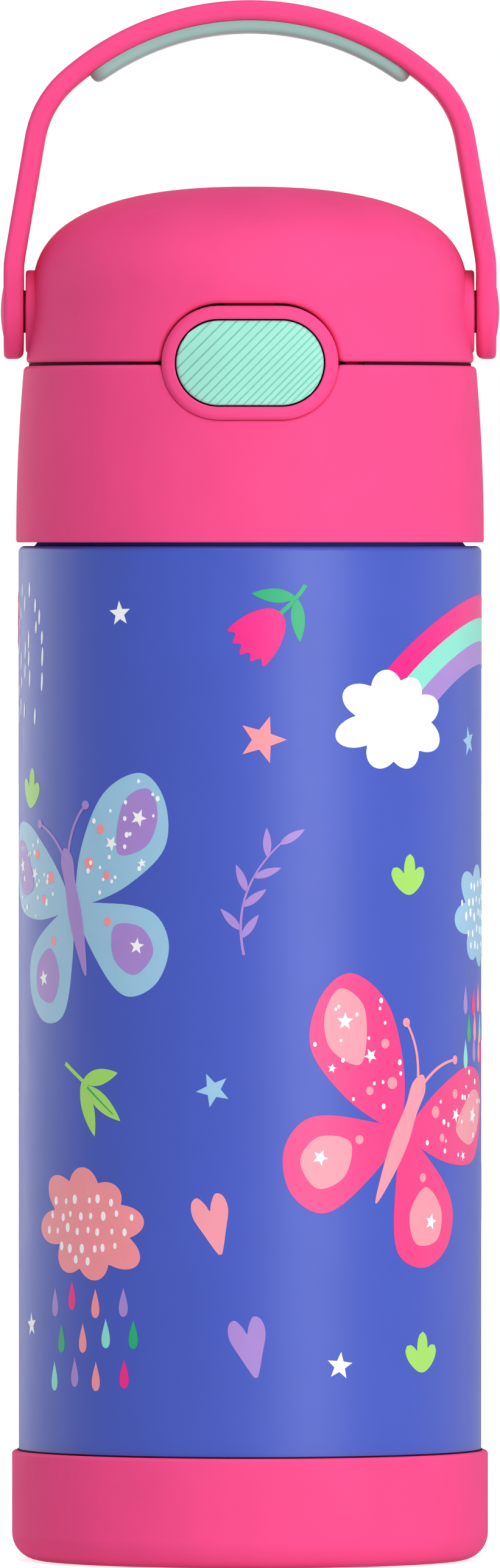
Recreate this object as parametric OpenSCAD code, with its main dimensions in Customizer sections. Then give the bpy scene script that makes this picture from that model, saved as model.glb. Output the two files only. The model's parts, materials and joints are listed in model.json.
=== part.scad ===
// Insulated kids' bottle: a steel vacuum flask in a moulded boot, and a screw-on lid whose
// spring-loaded flip cap opens at a push button and carries a bail handle.
// Millimetres, +Z up, origin at the centre of the underside. The button faces -Y.

/* [Flask] */
// Outside radius of the painted steel shell
body_r = 38; // [36:0.5:40]
// Height of the shell's flat shoulder
shoulder_z = 166.5; // [150:0.5:180]
// Thickness of the steel walls
steel_t = 0.5; // [0.4:0.1:0.8]
// Outside radius of the inner vessel
vessel_r = 34; // [32:0.5:34.5]

/* [Boot] */
// Outside radius of the boot
boot_r = 39.1; // [38.9:0.1:40.5]
// Height of the boot
boot_h = 18; // [12:1:30]

/* [Lid] */
// Gap between the shoulder and the collar's lower edge
collar_gap = 0.6; // [0.4:0.1:1]
// Height of the collar
collar_h = 28.9; // [28.5:0.1:30]
// Gap between the collar and the flip cap
seam_gap = 0.6; // [0.4:0.1:1]
// Height of the flip cap
cap_h = 28.9; // [28.5:0.1:30]
// Wall of the flip cap
cap_t = 1.8; // [1.4:0.1:2.2]

/* [Button] */
// Width of the push button
button_w = 24; // [20:0.5:25]
// Height of the push button
button_h = 13.8; // [12:0.2:14]
// Width of the rim around the button
rim_w = 2.55; // [2.4:0.05:2.8]
// Slack all round the button
button_slack = 0.25; // [0.2:0.05:0.4]

/* [Handle] */
// Thickness of the handle's band
band_t = 3.5; // [3:0.1:3.5]
// Depth of the handle's band, front to back
band_d = 15.6; // [12:0.2:16]
// Reach of the handle above its pivots
reach = 51; // [48:0.5:54]
// Outside radius of the handle's crown
crown_r = 46.8; // [46:0.2:48]
// Half of the crown's angle
crown_half = 41.6; // [40:0.2:44]
// Outside radius of the handle's corners
corner_r = 18; // [16:0.5:20]
// Lean of the handle's legs in degrees
leg_lean = 9.7; // [9:0.1:11]

/* [Thread] */
// Rise of the thread in one turn
pitch = 4; // [3.6:0.1:4.4]
// Turns of thread on the neck, and on the lid
thread_turns = 1.25; // [1:0.05:1.3]

/* [Hidden] */
$fn = 96;
eps = 0.01;

pink = [0.93, 0.22, 0.47];
mint = [0.62, 0.92, 0.82];
blue = [0.27, 0.33, 0.72];
steel = [0.76, 0.77, 0.78];
silicone = [0.93, 0.94, 0.94];
rubber = [0.35, 0.36, 0.4];

// Flask
shell_base_z = 2.9;
shell_corner = 3.4;
shoulder_corner = 1;
shoulder_step_r = 35.4;
shoulder_rise = 1.3;
neck_r = 28.6;
neck_fillet = 2;
neck_top_z = shoulder_z + 17.4;
lip_z = neck_top_z + 0.1;
lip_t = 0.6;
vessel_base_z = 12;
vessel_corner = 8;
vessel_shoulder_z = shoulder_z - 12.5;
vessel_neck_r = 27.6;

// Lid heights
collar_z = shoulder_z + collar_gap;
collar_top_z = collar_z + collar_h;
cap_z = collar_top_z + seam_gap;
cap_top_z = cap_z + cap_h;
deck_t = 2;
deck_z = collar_top_z - 6.5;
skirt_r = 30.1;
skirt_t = 2.2;
collar_in_r = 35.5;
splash_rim_r = 34.4;
splash_rim_t = 1.2;
splash_rim_up = 1;

// Flip cap: a superellipse over a slightly flared skirt
dome_r = 35.8;
dome_z = cap_z + 9.4;
dome_h = cap_top_z - dome_z;
flare = 1;

// Button housing
seam_z = collar_top_z + seam_gap / 2;
rim_back_y = -32.8;
button_back_y = -34;
button_travel = 2.5;
notch_gap = 0.4;

// Rear hinge
hinge_y = 36.3;
hinge_z = collar_top_z + 0.2;
barrel_r = 2.6;
barrel_clear = 2.95;
hinge_pin_r = 1.25;
cap_knuckle = [2.6, 5.8];
collar_knuckle = [6.1, 11];
knuckle_gap = 0.3;

// Handle pivots
pivot_z = cap_z + 8.4;
ear_r = 6.8;
ear_x = 36.55;
arm_in_x = 36.9;
arm_out_x = arm_in_x + band_t;
pivot_r = 1.7;
washer_r = 3.5;
pin_head_r = 4.35;
pin_head_dome = 0.5;
handle_top_z = pivot_z + reach;
crown_z = handle_top_z - crown_r;

// Spout
spout_y = -6;
spout_in_r = 8.5;
spout_out_r = 10.5;
spout_top_z = collar_top_z + 19;

// Points of an arc about [cx, cy]
function arc(cx, cy, r, from, to, steps = 8) =
    [for (i = [0:steps]) let (a = from + (to - from) * i / steps) [cx + r * cos(a), cy + r * sin(a)]];

// Cross-section of the dome: radius share at each height share
function dome_profile(r, h, z, steps = 20) =
    [for (i = [0:steps]) let (a = 90 * i / steps)
        [r * pow(sin(a), 2 / 2.37), z + h * pow(cos(a), 2 / 2.9)]];

// Cap skirt below the dome, flaring down to the seam
function skirt_profile(r, steps = 6) =
    [for (i = [1:steps]) let (s = i / steps) [r + flare * pow(s, 1.3), dome_z - (dome_z - cap_z) * s]];

// Collar's outside, from its top edge down
function collar_profile() = concat(
    arc(37.17 - 0.9, collar_top_z - 0.9, 0.9, 90, 10, 6),
    [[37.7, collar_z + 22.2], [38, collar_z + 16.2], [38.2, collar_z + 10.2], [38.38, collar_z + 4]],
    arc(38.4 - 0.4, collar_z + 0.4, 0.4, 0, -90, 3));

// Face of the button's rim, which leans in as the lid does
function rim_profile(inset) = [[0, seam_z - 14], [38.35 - inset, seam_z - 14], [38.15 - inset, seam_z - 9.6],
    [37.75 - inset, seam_z], [36.95 - inset, seam_z + 9.7], [36.5 - inset, seam_z + 14], [0, seam_z + 14]];

function unit(v) = v / norm(v);

// Two triangles for each side of each ring, and a fan over each end
function sweep_faces(rings, sides) = concat(
    [for (i = [0:rings - 2], k = [0:sides - 1]) [i * sides + k, i * sides + (k + 1) % sides, (i + 1) * sides + k]],
    [for (i = [0:rings - 2], k = [0:sides - 1])
        [i * sides + (k + 1) % sides, (i + 1) * sides + (k + 1) % sides, (i + 1) * sides + k]],
    [for (k = [1:sides - 2]) [0, k + 1, k]],
    [for (k = [1:sides - 2]) let (e = (rings - 1) * sides) [e, e + k, e + k + 1]]);

// Round wire along a path that never runs along the axis `ref`
module wire(path, r, ref, sides = 6) {
    n = len(path);
    points = [for (i = [0:n - 1]) let (
            t = unit(path[min(i + 1, n - 1)] - path[max(i - 1, 0)]),
            u = unit(cross(ref, t)),
            v = cross(t, u))
        for (k = [0:sides - 1]) path[i] + r * (cos(360 * k / sides) * u + sin(360 * k / sides) * v)];
    polyhedron(points, sweep_faces(n, sides));
}

// One helical ridge. It stands out from root_r to tip_r and fades in over its first and last steps.
module thread_ridge(root_r, tip_r, z0, steps_per_turn = 36) {
    steps = round(thread_turns * steps_per_turn);
    root_half = 1;
    tip_half = 0.5;
    points = [for (i = [0:steps]) let (
            a = 360 * i / steps_per_turn,
            fade = max(0.1, min(1, i / 5, (steps - i) / 5)),
            z = z0 + pitch * i / steps_per_turn,
            tip = root_r + (tip_r - root_r) * fade)
        for (p = [[root_r, -root_half], [tip, -tip_half], [tip, tip_half], [root_r, root_half]])
            [p[0] * cos(a), p[0] * sin(a), z + p[1]]];
    polyhedron(points, tip_r > root_r ? sweep_faces(steps + 1, 4)
        : [for (f = sweep_faces(steps + 1, 4)) [f[2], f[1], f[0]]]);
}

module ring(r_in, r_out, z0, z1) {
    translate([0, 0, z0]) difference() {
        cylinder(r = r_out, h = z1 - z0);
        translate([0, 0, -1]) cylinder(r = r_in, h = z1 - z0 + 2);
    }
}

// Cylinder along X, from x0 to x1
module rod_x(r, x0, x1, y, z) {
    translate([x0, y, z]) rotate([0, 90, 0]) cylinder(r = r, h = x1 - x0);
}

module block(x0, x1, y0, y1, z0, z1) {
    translate([x0, y0, z0]) cube([x1 - x0, y1 - y0, z1 - z0]);
}

// Upright slot-shaped prism through the front of the lid, centred on the seam
module front_stadium(w, h, y0 = -45, y1 = -25) {
    r = h / 2;
    s = (w - h) / 2;
    translate([0, y1, seam_z]) rotate([90, 0, 0]) linear_extrude(y1 - y0)
        polygon(concat(arc(s, 0, r, -90, 90, 20), arc(-s, 0, r, 90, 270, 20)));
}

// Everything inside the rim's face
module rim_solid(inset) {
    rotate_extrude() polygon(rim_profile(inset));
}

module cap_solid(inset) {
    r = dome_r - inset;
    rotate_extrude() polygon(concat(
        dome_profile(r, dome_h - inset, dome_z), skirt_profile(r), [[0, cap_z]]));
}

// Flask

module base_boot() {
    color(pink) rotate_extrude() polygon(concat(
        [[31, 0]],
        arc(boot_r - 4.5, 4.5, 4.5, -90, 0, 10),
        arc(boot_r - 0.6, boot_h - 0.6, 0.6, 0, 90, 4),
        [[body_r + 0.05, boot_h]],
        arc(body_r + 0.05 - shell_corner, shell_base_z - 0.05 + shell_corner, shell_corner, 0, -90, 6),
        [[0, shell_base_z - 0.05], [0, 1], [31, 1]]));
}

module anti_slip_pad() {
    color(rubber) difference() {
        ring(20, 30.8, 0, 1 - eps);
        ring(24.8, 26, -1, 0.4);
    }
}

module outer_shell() {
    c = body_r - shell_corner;
    t = steel_t;
    top_z = shoulder_z + shoulder_rise;
    color(blue) rotate_extrude() polygon(concat(
        arc(c, shell_base_z + shell_corner, shell_corner, -90, 0, 6),
        arc(body_r - shoulder_corner, shoulder_z - shoulder_corner, shoulder_corner, 0, 90, 6),
        [[shoulder_step_r, shoulder_z], [shoulder_step_r - 1, top_z]],
        arc(neck_r + neck_fillet, top_z + neck_fillet, neck_fillet, -90, -180, 6),
        [[neck_r, neck_top_z], [neck_r - t, neck_top_z]],
        arc(neck_r + neck_fillet, top_z + neck_fillet, neck_fillet + t, -180, -90, 6),
        [[shoulder_step_r - 1 - t / 2, top_z - t], [shoulder_step_r - t / 2, shoulder_z - t]],
        arc(body_r - t - 0.4, shoulder_z - t - 0.4, 0.4, 90, 0, 4),
        arc(c, shell_base_z + shell_corner, shell_corner - t, 0, -90, 6)));
    color(steel) thread_ridge(neck_r / cos(5) + 0.01, neck_r + 1.1, neck_top_z - 9.9);
}

module shell_bottom() {
    z = shell_base_z + steel_t + 0.05;
    color(steel) rotate_extrude() polygon([[0, z + 1.9], [25, z + 1.9], [27, z], [34.8, z], [34.8, z + steel_t],
        [27.3, z + steel_t], [25.3, z + 1.9 + steel_t], [0, z + 1.9 + steel_t]]);
}

module vacuum_seal_disc() {
    z = shell_base_z + steel_t + 1.95;
    color(steel) translate([0, 0, z - 0.8]) cylinder(r1 = 4.4, r2 = 5, h = 0.8 - eps);
}

module inner_flask() {
    t = steel_t;
    r = vessel_r - vessel_corner;
    color(steel) rotate_extrude() polygon(concat(
        [[0, vessel_base_z]],
        arc(r, vessel_base_z + vessel_corner, vessel_corner, -90, 0, 10),
        arc(vessel_r - 6, vessel_shoulder_z, 6, 0, 60, 6),
        [[vessel_neck_r, vessel_shoulder_z + 9], [vessel_neck_r, lip_z], [neck_r, lip_z],
            [neck_r, lip_z + lip_t], [vessel_neck_r - t, lip_z + lip_t], [vessel_neck_r - t, vessel_shoulder_z + 8.6]],
        arc(vessel_r - 6, vessel_shoulder_z, 6 - t, 60, 0, 6),
        arc(r, vessel_base_z + vessel_corner, vessel_corner - t, 0, -90, 10),
        [[0, vessel_base_z + t]]));
}

// Lid

module lid_gasket() {
    z = lip_z + lip_t + 0.05;
    top = deck_z - deck_t - 0.05;
    color(silicone) rotate_extrude() polygon([[26.8, z], [29.9, z], [29.9, top], [27.9, top], [27.9, top - 0.9],
        [27.3, top - 0.9], [27.3, top], [26.8, top]]);
}

// Deck that the spout stands on, with the threaded skirt below it
module lid_base() {
    under_z = deck_z - deck_t;
    color(pink) difference() {
        union() {
            translate([0, 0, under_z]) cylinder(r = collar_in_r - 0.1, h = deck_t);
            ring(skirt_r, skirt_r + skirt_t, collar_z + 3.4, under_z + eps);
            splash_rim();
            block(-7, 7, -22, -20.4, deck_z - eps, seam_z + 4.5);
            translate([0, -22, seam_z]) rotate([90, 0, 0]) cylinder(r = 2, h = 2);
        }
        translate([0, spout_y, under_z - 1]) cylinder(r = spout_out_r + 0.7, h = deck_t + 2);
        translate([0, 20, under_z - 1]) cylinder(r = 1.5, h = deck_t + 2);
        block(-15.2, 15.2, -45, button_back_y + button_travel + 0.3, under_z - 1, deck_z + 1);
    }
    color(pink) thread_ridge(skirt_r - 0.01, neck_r + 0.35, neck_top_z - 9.9 - pitch / 2);
}

// Low wall on the deck that stands up behind the seam. It is open for the latch and for the hinge.
module splash_rim() {
    difference() {
        ring(splash_rim_r - splash_rim_t, splash_rim_r, deck_z - eps, seam_z + splash_rim_up);
        block(-15.6, 15.6, -45, 0, deck_z - 1, seam_z + 5);
        block(-collar_knuckle[1] - 1, collar_knuckle[1] + 1, 0, 45, deck_z - 1, seam_z + 5);
    }
}

module hinge_barrels(knuckle, r) {
    for (side = [-1, 1])
        rod_x(r, side > 0 ? knuckle[0] : -knuckle[1], side > 0 ? knuckle[1] : -knuckle[0], hinge_y, hinge_z);
}

module lid_collar() {
    ledge_z = deck_z - deck_t - 0.05;
    color(pink) difference() {
        union() {
            difference() {
                union() {
                    rotate_extrude() polygon(concat(
                        [[collar_in_r, collar_top_z]], collar_profile(),
                        [[36, collar_z], [36, ledge_z - 1.6], [33.4, ledge_z - 1.2], [33.4, ledge_z],
                            [collar_in_r, ledge_z]]));
                    intersection() {
                        front_stadium(button_w + 2 * (button_slack + rim_w), button_h + 2 * (button_slack + rim_w),
                            -45, rim_back_y);
                        rim_solid(0);
                    }
                }
                front_stadium(button_w + 2 * button_slack, button_h + 2 * button_slack);
                rod_x(barrel_clear, -collar_knuckle[0], collar_knuckle[0], hinge_y, hinge_z);
            }
            hinge_barrels(collar_knuckle, barrel_r);
            for (side = [-1, 1])
                block(side > 0 ? collar_knuckle[0] : -collar_knuckle[1], side > 0 ? collar_knuckle[1] : -collar_knuckle[0],
                    35, 38.4, hinge_z - 5.7, hinge_z);
        }
        rod_x(hinge_pin_r + 0.02, -12, 12, hinge_y, hinge_z);
    }
}

module drink_spout() {
    color(mint) translate([0, spout_y, 0]) rotate_extrude() polygon(concat(
        [[spout_in_r, deck_z - 5.2], [spout_out_r + 0.5, deck_z - 5.2], [spout_out_r + 0.5, deck_z + 0.8],
            [13.3, deck_z + 0.8], [13.3, deck_z + 1.8], [12.8, deck_z + 2.2], [spout_out_r + 0.6, deck_z + 2.4]],
        arc(spout_in_r + 1, spout_top_z - 1, 1, 30, 150, 8)));
}

module spout_gasket() {
    color(silicone) translate([0, spout_y, 0]) ring(spout_out_r + 0.8, 13.2, deck_z + eps, deck_z + 0.8 - eps);
}

module vent_valve() {
    color(silicone) translate([0, 20, 0]) rotate_extrude() polygon([[0, deck_z - 3.2], [1.2, deck_z - 3.2],
        [2.3, deck_z - deck_t - eps], [1.45, deck_z - deck_t - eps], [1.45, deck_z + eps], [3.2, deck_z + eps],
        [3.2, deck_z + 0.4], [2.4, deck_z + 0.9], [0, deck_z + 1.1]]);
}

// Push button and latch

module release_button() {
    color(mint) intersection() {
        front_stadium(button_w, button_h, -45, button_back_y);
        rim_solid(0.2);
    }
}

module latch_hook() {
    color(pink) union() {
        block(-5, 5, button_back_y + eps, -32.2, seam_z - 4.5, seam_z + 4.5);
        block(-13.2, 13.2, -32.3, -30.9, seam_z - 5, seam_z + 5);
        block(-4, 4, -31.4, -30.2, seam_z + 4, seam_z + 13.9);
        block(-4, 4, -31.8, -30.2, seam_z + 12.6, seam_z + 13.9);
        translate([0, -29.4, seam_z]) rotate([90, 0, 0]) cylinder(r = 2, h = 1.6);
    }
}

module button_spring() {
    turns = 5;
    y0 = -30.5;
    y1 = -22.4;
    steps = 18 * turns;
    color(steel) wire([for (i = [0:steps]) let (a = 360 * turns * i / steps)
        [3.2 * cos(a), y0 + (y1 - y0) * i / steps, seam_z + 3.2 * sin(a)]], 0.35, [0, 1, 0]);
}

// Flip cap

module flip_cap() {
    rim_gap = 2 * (button_slack + rim_w + notch_gap);
    color(pink) difference() {
        union() {
            difference() {
                cap_solid(0);
                translate([0, 0, -eps]) cap_solid(cap_t);
                front_stadium(button_w + rim_gap, button_h + rim_gap, -45, -25);
                hinge_relief();
            }
            intersection() {
                block(-6, 6, -35.5, -32.6, dome_z + 0.8, dome_z + 2.4);
                cap_solid(0.5);
            }
            for (side = [-1, 1])
                rod_x(ear_r, side > 0 ? ear_x - 3.75 : -ear_x, side > 0 ? ear_x : 3.75 - ear_x, 0, pivot_z);
            hinge_barrels(cap_knuckle, barrel_r);
            for (side = [-1, 1])
                block(side > 0 ? cap_knuckle[0] : -cap_knuckle[1], side > 0 ? cap_knuckle[1] : -cap_knuckle[0],
                    34.7, 37.6, hinge_z, hinge_z + 4.3);
        }
        rod_x(hinge_pin_r + 0.08, -12, 12, hinge_y, hinge_z);
        for (side = [-1, 1])
            rod_x(pivot_r + 0.02, side > 0 ? ear_x - 3 : -ear_x - 1, side > 0 ? ear_x + 1 : 3 - ear_x, 0, pivot_z);
    }
}

// Room in the cap's wall for the collar's knuckles and for the spring
module hinge_relief() {
    for (side = [-1, 1])
        rod_x(barrel_clear, side > 0 ? cap_knuckle[1] : -collar_knuckle[1] - knuckle_gap,
            side > 0 ? collar_knuckle[1] + knuckle_gap : -cap_knuckle[1], hinge_y, hinge_z);
    rod_x(barrel_r - 0.15, -cap_knuckle[0], cap_knuckle[0], hinge_y, hinge_z);
}

module seal_holder() {
    z = spout_top_z + 1.9;
    color(pink) intersection() {
        translate([0, spout_y, 0]) difference() {
            translate([0, 0, z]) cylinder(r = 11.8, h = 12);
            translate([0, 0, z - 1]) cylinder(r = 10, h = 3.1);
            translate([0, 0, z + 3.3]) cylinder(r = 10, h = 12);
        }
        translate([0, 0, -0.1]) cap_solid(cap_t + 0.02);
    }
}

module spout_seal() {
    z = spout_top_z + 0.05;
    color(silicone) translate([0, spout_y, 0]) rotate_extrude() polygon([[0, z + 0.3], [7, z + 0.3], [7.6, z], [10.4, z],
        [10.9, z + 0.4], [10.9, z + 1.8], [9.95, z + 1.8], [9.95, z + 3.9], [0, z + 3.9]]);
}

module hinge_pin() {
    color(steel) rod_x(hinge_pin_r, -collar_knuckle[1], collar_knuckle[1], hinge_y, hinge_z);
}

module hinge_spring() {
    turns = 8;
    steps = 12 * turns;
    r = 1.9;
    x0 = -2.2;
    coil = [for (i = [0:steps]) let (a = 360 * turns * i / steps)
        [x0 + 4.3 * i / steps, hinge_y - r * cos(a), hinge_z - r * sin(a)]];
    leg = [[2.15, hinge_y - r - 0.2, hinge_z + 2.4], [2.15, hinge_y - r - 0.7, hinge_z + 6.8]];
    color(steel) wire(concat([for (i = [0:steps]) if (i < steps) coil[i]], leg), 0.25, [1, 0, 0]);
}

module pivot_pin(side) {
    head_x = arm_out_x - 1;
    color(pink) rotate([0, side * 90, 0]) translate([-pivot_z * side, 0, 0]) rotate_extrude() polygon(concat(
        [[0, ear_x - 2.9], [pivot_r, ear_x - 2.9], [pivot_r, head_x], [pin_head_r, head_x],
            [pin_head_r, arm_out_x]],
        [for (i = [1:6]) let (s = 1 - i / 6) [pin_head_r * s, arm_out_x + pin_head_dome * (1 - s * s)]]));
}

module pivot_washer(side) {
    color(pink) rotate([0, side * 90, 0]) translate([-pivot_z * side, 0, 0])
        ring(pivot_r + 0.02, washer_r, ear_x + eps, arm_in_x - 0.02);
}

// Handle

// Outline of the band's right half, `inset` inside its outer face: crown, corner, leg and upright arm
function band_edge(inset) = let (
        c = [(crown_r - corner_r) * sin(crown_half), crown_z + (crown_r - corner_r) * cos(crown_half)],
        leg_top = c + (corner_r - inset) * [cos(leg_lean), sin(leg_lean)],
        arm_x = arm_out_x - inset,
        bend_z = leg_top[1] - (arm_x - leg_top[0]) / tan(leg_lean))
    concat(
        arc(0, crown_z, crown_r - inset, 90, 90 - crown_half, 16),
        arc(c[0], c[1], corner_r - inset, 90 - crown_half - 4, leg_lean, 9),
        [[arm_x, bend_z], [arm_x, pivot_z - band_d / 2 - 1]]);

function mirrored(points) = [for (i = [len(points) - 1:-1:0]) [-points[i][0], points[i][1]]];

module band(inset) {
    polygon(concat(mirrored(band_edge(inset)), band_edge(inset)));
}

module bail_handle() {
    color(pink) difference() {
        intersection() {
            rotate([90, 0, 0]) linear_extrude(band_d, center = true) difference() {
                band(0);
                translate([0, -eps]) band(band_t);
            }
            union() {
                rod_x(band_d / 2, -60, 60, 0, pivot_z);
                translate([-60, 0, 0]) rotate([90, 0, 90]) linear_extrude(120) polygon([
                    [-band_d / 2, pivot_z], [band_d / 2, pivot_z], [band_d / 2, pivot_z + 20],
                    [band_d / 2 - 0.8, handle_top_z + 1], [0.8 - band_d / 2, handle_top_z + 1],
                    [-band_d / 2, pivot_z + 20]]);
            }
        }
        rod_x(pivot_r + 0.06, -60, 60, 0, pivot_z);
        for (side = [-1, 1])
            rod_x(pin_head_r + 0.06, side > 0 ? arm_out_x - 1.03 : -60, side > 0 ? 60 : 1.03 - arm_out_x, 0, pivot_z);
    }
}

module handle_grip() {
    grip_half = 37;
    r_out = crown_r - band_t - 0.02;
    r_in = r_out - 2;
    outline = concat(arc(0, 0, r_out, 90 - grip_half, 90 + grip_half, 32),
        arc(0, 0, r_in, 90 + grip_half - 2, 90 - grip_half + 2, 32));
    color(mint) translate([0, 0, crown_z]) rotate([90, 0, 0]) linear_extrude(12, center = true) polygon(outline);
}

base_boot();
anti_slip_pad();
outer_shell();
shell_bottom();
vacuum_seal_disc();
inner_flask();
lid_gasket();
lid_base();
lid_collar();
drink_spout();
spout_gasket();
vent_valve();
release_button();
latch_hook();
button_spring();
flip_cap();
seal_holder();
spout_seal();
hinge_pin();
hinge_spring();
pivot_pin(-1);  // pivot_pin_left
pivot_pin(1);  // pivot_pin_right
pivot_washer(-1);  // pivot_washer_left
pivot_washer(1);  // pivot_washer_right
bail_handle();
handle_grip();
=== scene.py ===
"""Looks of the insulated kids' bottle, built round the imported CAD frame. Lengths are in millimetres."""

import json
import math
import random

import bmesh
import bpy
import numpy as np
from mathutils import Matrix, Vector
from mathutils.geometry import delaunay_2d_cdt


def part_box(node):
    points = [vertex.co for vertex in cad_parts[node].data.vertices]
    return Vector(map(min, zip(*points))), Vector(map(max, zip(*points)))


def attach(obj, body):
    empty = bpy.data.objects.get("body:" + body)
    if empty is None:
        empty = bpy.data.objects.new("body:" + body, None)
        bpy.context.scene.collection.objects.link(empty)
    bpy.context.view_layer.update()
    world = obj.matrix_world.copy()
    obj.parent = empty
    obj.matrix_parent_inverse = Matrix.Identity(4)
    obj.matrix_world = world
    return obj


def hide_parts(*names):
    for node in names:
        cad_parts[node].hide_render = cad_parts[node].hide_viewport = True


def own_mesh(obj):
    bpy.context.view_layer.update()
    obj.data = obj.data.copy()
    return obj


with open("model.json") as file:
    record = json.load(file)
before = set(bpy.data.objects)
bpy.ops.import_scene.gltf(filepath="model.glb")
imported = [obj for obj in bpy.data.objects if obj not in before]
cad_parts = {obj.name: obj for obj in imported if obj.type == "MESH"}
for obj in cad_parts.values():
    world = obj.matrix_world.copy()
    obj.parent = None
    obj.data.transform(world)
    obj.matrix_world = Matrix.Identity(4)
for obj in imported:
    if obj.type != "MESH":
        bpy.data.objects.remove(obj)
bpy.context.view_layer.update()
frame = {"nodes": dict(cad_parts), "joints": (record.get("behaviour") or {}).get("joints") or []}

MM = 0.001
TURN = 2 * math.pi

# ---- sizes read from the frame


def low(node):
    """Lowest corner of a CAD node."""
    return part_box(node)[0] / MM


def high(node):
    """Highest corner of a CAD node."""
    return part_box(node)[1] / MM


def joint_place(name):
    """A joint's position."""
    joint = next(j for j in frame["joints"] if j["name"] == name)
    return Vector(joint["pos_m"]) / MM


BODY_R = high("outer_shell").x
BODY_LOW = low("outer_shell").z
NECK_TOP = high("outer_shell").z
SHOULDER = low("lid_collar").z - 0.6
BOOT_R = high("base_boot").x
BOOT_TOP = high("base_boot").z

SEAM = (low("release_button").z + high("release_button").z) / 2
COLLAR_LOW = low("lid_collar").z
COLLAR_TOP = SEAM - 0.27
CAP_LOW = SEAM + 0.23
CAP_TOP = high("flip_cap").z
COLLAR_R = 38.4
COLLAR_LEAN = 1.3
CAP_WALL = 1.8
DOME_R = 35.8
DOME_LOW = CAP_LOW + 9.4
DOME_POWER = 2.9
SIDE_POWER = 2.37
FLARE = 1.0
FLARE_POWER = 1.3

BUTTON_W = high("release_button").x - low("release_button").x
BUTTON_H = high("release_button").z - low("release_button").z
BUTTON_GAP = 0.25
BUTTON_RECESS = 0.2
RIB_DEPTH = 0.26
RIB_STEP = 0.38
RIB_PITCH = 2.25
PITCH_LOSS = 1.2
RIM_W = 2.15
RIM_DEPTH = 4.6
NOTCH_GAP = 0.4
RIM_CREASE = 0.04
EDGE_FILLET = 0.75
CREASE_FILLET = 0.4

HINGE = joint_place("cap_hinge")
PIVOT = joint_place("handle_swing")
EAR_R = 6.8
EAR_X = high("flip_cap").x
HANDLE_TOP = high("bail_handle").z
ARM_OUT = high("bail_handle").x
BAND_T = 3.25
BAND_HALF = high("bail_handle").y
CROWN_R = 46.8
CROWN_Z = HANDLE_TOP - CROWN_R
CROWN_HALF = 41.6
CORNER_R = 18.0
LEG_LEAN = 9.7

# ---- outlines


def rounded(corners, closed=True, step=12):
    """Outline through (a, b, radius) corners, with a point every `step` degrees of a rounded corner."""
    count = len(corners)
    outline = []
    for i, (a, b, radius) in enumerate(corners):
        here = np.array([a, b], float)
        if radius <= 0 or (not closed and i in (0, count - 1)):
            outline.append(here)
            continue
        back = np.array(corners[i - 1][:2], float) - here
        ahead = np.array(corners[(i + 1) % count][:2], float) - here
        back /= np.linalg.norm(back)
        ahead /= np.linalg.norm(ahead)
        half = math.acos(np.clip(back @ ahead, -1, 1)) / 2
        middle = (back + ahead) / np.linalg.norm(back + ahead)
        centre = here + middle * radius / math.sin(half)
        first = here + back * radius / math.tan(half) - centre
        last = here + ahead * radius / math.tan(half) - centre
        turn = math.atan2(first[0] * last[1] - first[1] * last[0], first @ last)
        steps = max(2, math.ceil(abs(math.degrees(turn)) / step - 0.001))
        for angle in turn * np.arange(steps + 1) / steps:
            c, s = math.cos(angle), math.sin(angle)
            outline.append(centre + [first[0] * c - first[1] * s, first[0] * s + first[1] * c])
    return np.array(outline)


def steps_along(line):
    """Distance run along a polyline at each of its points."""
    return np.concatenate([[0], np.cumsum(np.linalg.norm(np.diff(line, axis=0), axis=1))])


def resampled(points, spacing, closed=False):
    """Points an even distance apart along a polyline."""
    line = np.vstack([points, points[:1]]) if closed else np.asarray(points, float)
    along = steps_along(line)
    count = max(3, round(along[-1] / spacing))
    places = np.linspace(0, along[-1], count + 1)
    if closed:
        places = places[:-1]
    return np.column_stack([np.interp(places, along, line[:, k]) for k in range(line.shape[1])])


def arc(cx, cy, r, start, end, steps):
    """Points of an arc, with its angles in degrees."""
    angles = np.radians(np.linspace(start, end, steps + 1))
    return np.column_stack([cx + r * np.cos(angles), cy + r * np.sin(angles)])


def edge_normals(line, closed=False):
    """Unit normals to the left of a polyline's direction."""
    if closed:
        tangent = np.roll(line, -1, axis=0) - np.roll(line, 1, axis=0)
    else:
        tangent = np.gradient(line, axis=0)
    tangent /= np.linalg.norm(tangent, axis=1)[:, None]
    return np.column_stack([-tangent[:, 1], tangent[:, 0]])


def reflected(points):
    """Mirror image of points across the upright axis, in reverse order."""
    return [(-x, y) for x, y in reversed(points)]


# ---- meshes. A part is (points, faces).


def in_scene(name, data):
    """A new object in the scene."""
    thing = bpy.data.objects.new(name, data)
    bpy.context.scene.collection.objects.link(thing)
    return thing


def new_piece(name, part, material, body, node=None, sharp=35):
    """A closed piece that rides on a body, and stands for a CAD node if one is named."""
    points, faces = part
    mesh = bpy.data.meshes.new(name)
    mesh.from_pydata((np.asarray(points, float) * MM).tolist(), [], faces)
    work = bmesh.new()
    work.from_mesh(mesh)
    bmesh.ops.remove_doubles(work, verts=work.verts, dist=1e-7)
    bmesh.ops.recalc_face_normals(work, faces=work.faces)
    work.to_mesh(mesh)
    work.free()
    mesh.materials.append(material)
    piece = in_scene(name, mesh)
    smooth(piece, sharp)
    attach(piece, body)
    if node:
        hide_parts(node)
    return piece


def smooth(piece, sharp):
    """Smooth shading that keeps flat faces flat and edges over `sharp` degrees crisp."""
    piece.data.shade_smooth()
    piece.data.set_sharp_from_angle(angle=math.radians(sharp))
    weighted = piece.modifiers.new("weighted", "WEIGHTED_NORMAL")
    weighted.keep_sharp = True


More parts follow.
